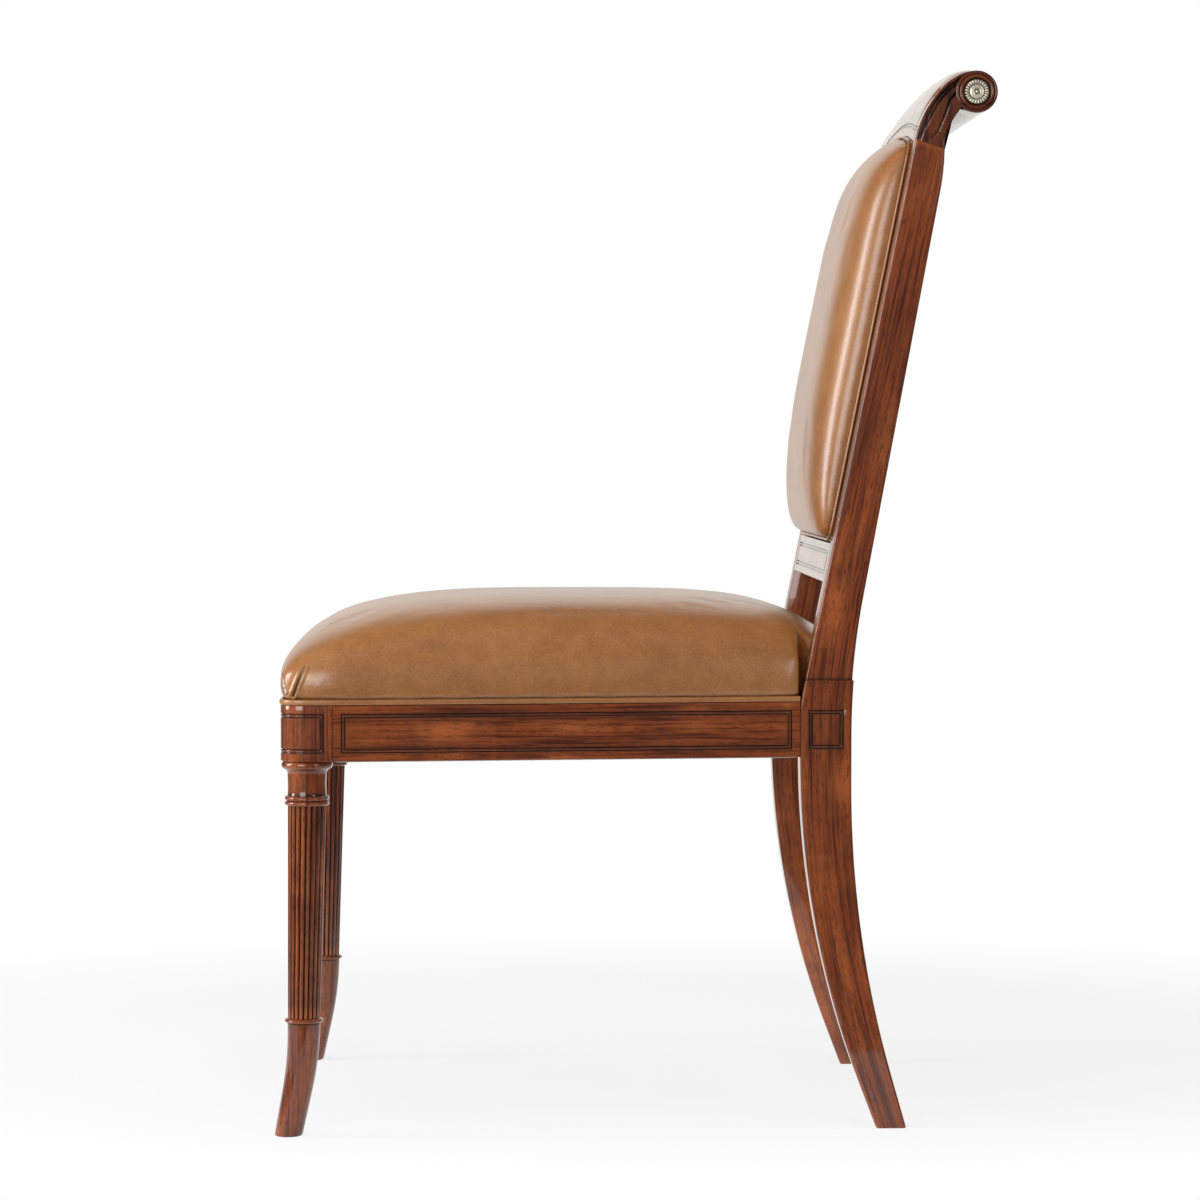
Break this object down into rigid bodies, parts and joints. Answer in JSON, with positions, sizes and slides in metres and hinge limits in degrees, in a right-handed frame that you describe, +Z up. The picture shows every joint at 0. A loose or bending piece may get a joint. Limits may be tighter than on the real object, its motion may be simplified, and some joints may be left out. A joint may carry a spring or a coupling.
{
  "type": "dining chair",
  "caption": "Klismos dining chair: reeded front legs, sabre rear legs, rolled crest rail with scroll ends, raked leather back pad and crowned leather seat on a panelled rail frame",
  "frame": {"origin": "middle of the chair's footprint, on the floor", "axes": "+Z up, the chair faces -Y, the sitter's left is towards +X"},
  "size_m": [0.5206, 0.6648, 0.99],
  "materials": {
    "mahogany": "polished, deep reddish brown with a darker grain and rubbed edges",
    "leather": "tan pull-up leather, softly mottled, semi-gloss",
    "brass": "antiqued cast brass",
    "beech": "unfinished",
    "foam": "open-cell padding",
    "webbing": "woven jute strap",
    "cambric": "black lining cloth",
    "steel": "plain wood screw"
  },
  "bodies": {
    "root": {"front_leg_left": "mahogany", "front_leg_right": "mahogany", "rear_stile_left": "mahogany", "rear_stile_right": "mahogany", "side_seat_rail_left": "mahogany", "side_seat_rail_right": "mahogany", "front_seat_rail": "mahogany", "back_seat_rail": "mahogany", "stay_rail": "mahogany", "crest_rail": "mahogany", "crest_dowel_left": "beech", "crest_dowel_right": "beech", "rosette_left": "brass", "rosette_right": "brass", "front_corner_block_left": "beech", "front_corner_block_right": "beech", "rear_corner_block_left": "beech", "rear_corner_block_right": "beech", "front_corner_screw_left": "steel", "front_corner_screw_right": "steel", "rear_corner_screw_left": "steel", "rear_corner_screw_right": "steel", "seat_strap_long_1": "webbing", "seat_strap_cross_1": "webbing", "back_strap_up_1": "webbing", "back_strap_cross_1": "webbing", "seat_strap_long_2": "webbing", "seat_strap_cross_2": "webbing", "back_strap_up_2": "webbing", "back_strap_cross_2": "webbing", "seat_strap_long_3": "webbing", "seat_strap_cross_3": "webbing", "back_strap_up_3": "webbing", "back_strap_cross_3": "webbing", "seat_foam": "foam", "seat_cover": "leather", "seat_welt": "leather", "seat_welt_rear": "leather", "dust_cover": "cambric", "back_frame_top": "beech", "back_frame_bottom": "beech", "back_frame_side_left": "beech", "back_frame_side_right": "beech", "back_foam": "foam", "back_cover": "leather", "back_piping": "leather", "outside_back": "leather"}
  },
  "joints": []
}
